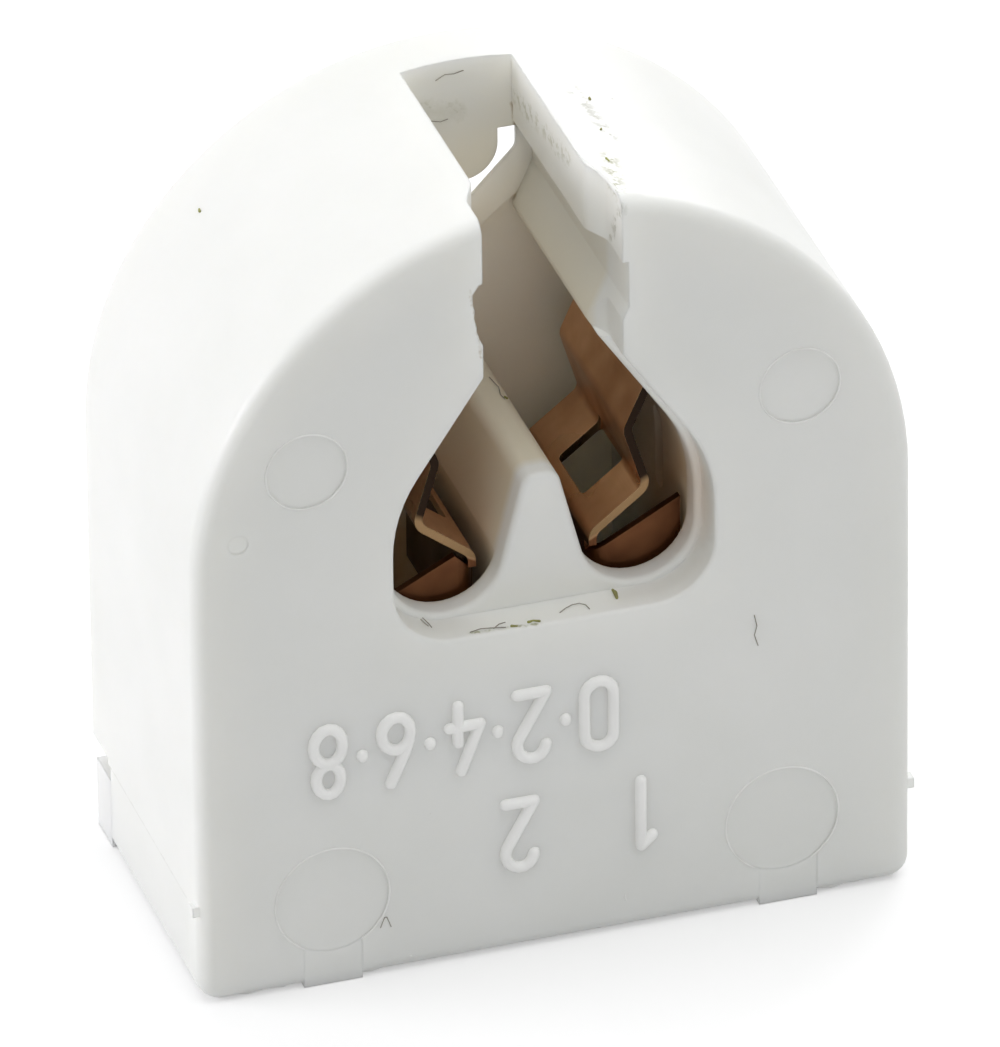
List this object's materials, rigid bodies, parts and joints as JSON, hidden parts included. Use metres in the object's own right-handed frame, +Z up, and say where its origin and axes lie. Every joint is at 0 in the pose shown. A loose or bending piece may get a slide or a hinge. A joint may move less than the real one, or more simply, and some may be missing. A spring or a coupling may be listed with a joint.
{
  "type": "fluorescent tube lamp holder",
  "caption": "Small arched holder for one end of a slim fluorescent tube, with a slot across the top, a flared pin well, folded spring contacts and push-in wire clamps.",
  "frame": {"origin": "middle of the footprint, on the surface that the holder stands on", "axes": "+Z up through the slot, +X to the right seen from the front, +Y from the front face to the back"},
  "size_m": [0.018, 0.0088, 0.0202],
  "materials": {
    "white_plastic": "smooth moulded, satin sheen",
    "cover_plastic": "smooth moulded, satin sheen",
    "contact_metal": "bare copper alloy strip, slightly tarnished"
  },
  "bodies": {
    "root": {"housing": "white_plastic", "rear_cover": "cover_plastic", "contact_left": "contact_metal", "contact_right": "contact_metal"}
  },
  "joints": []
}
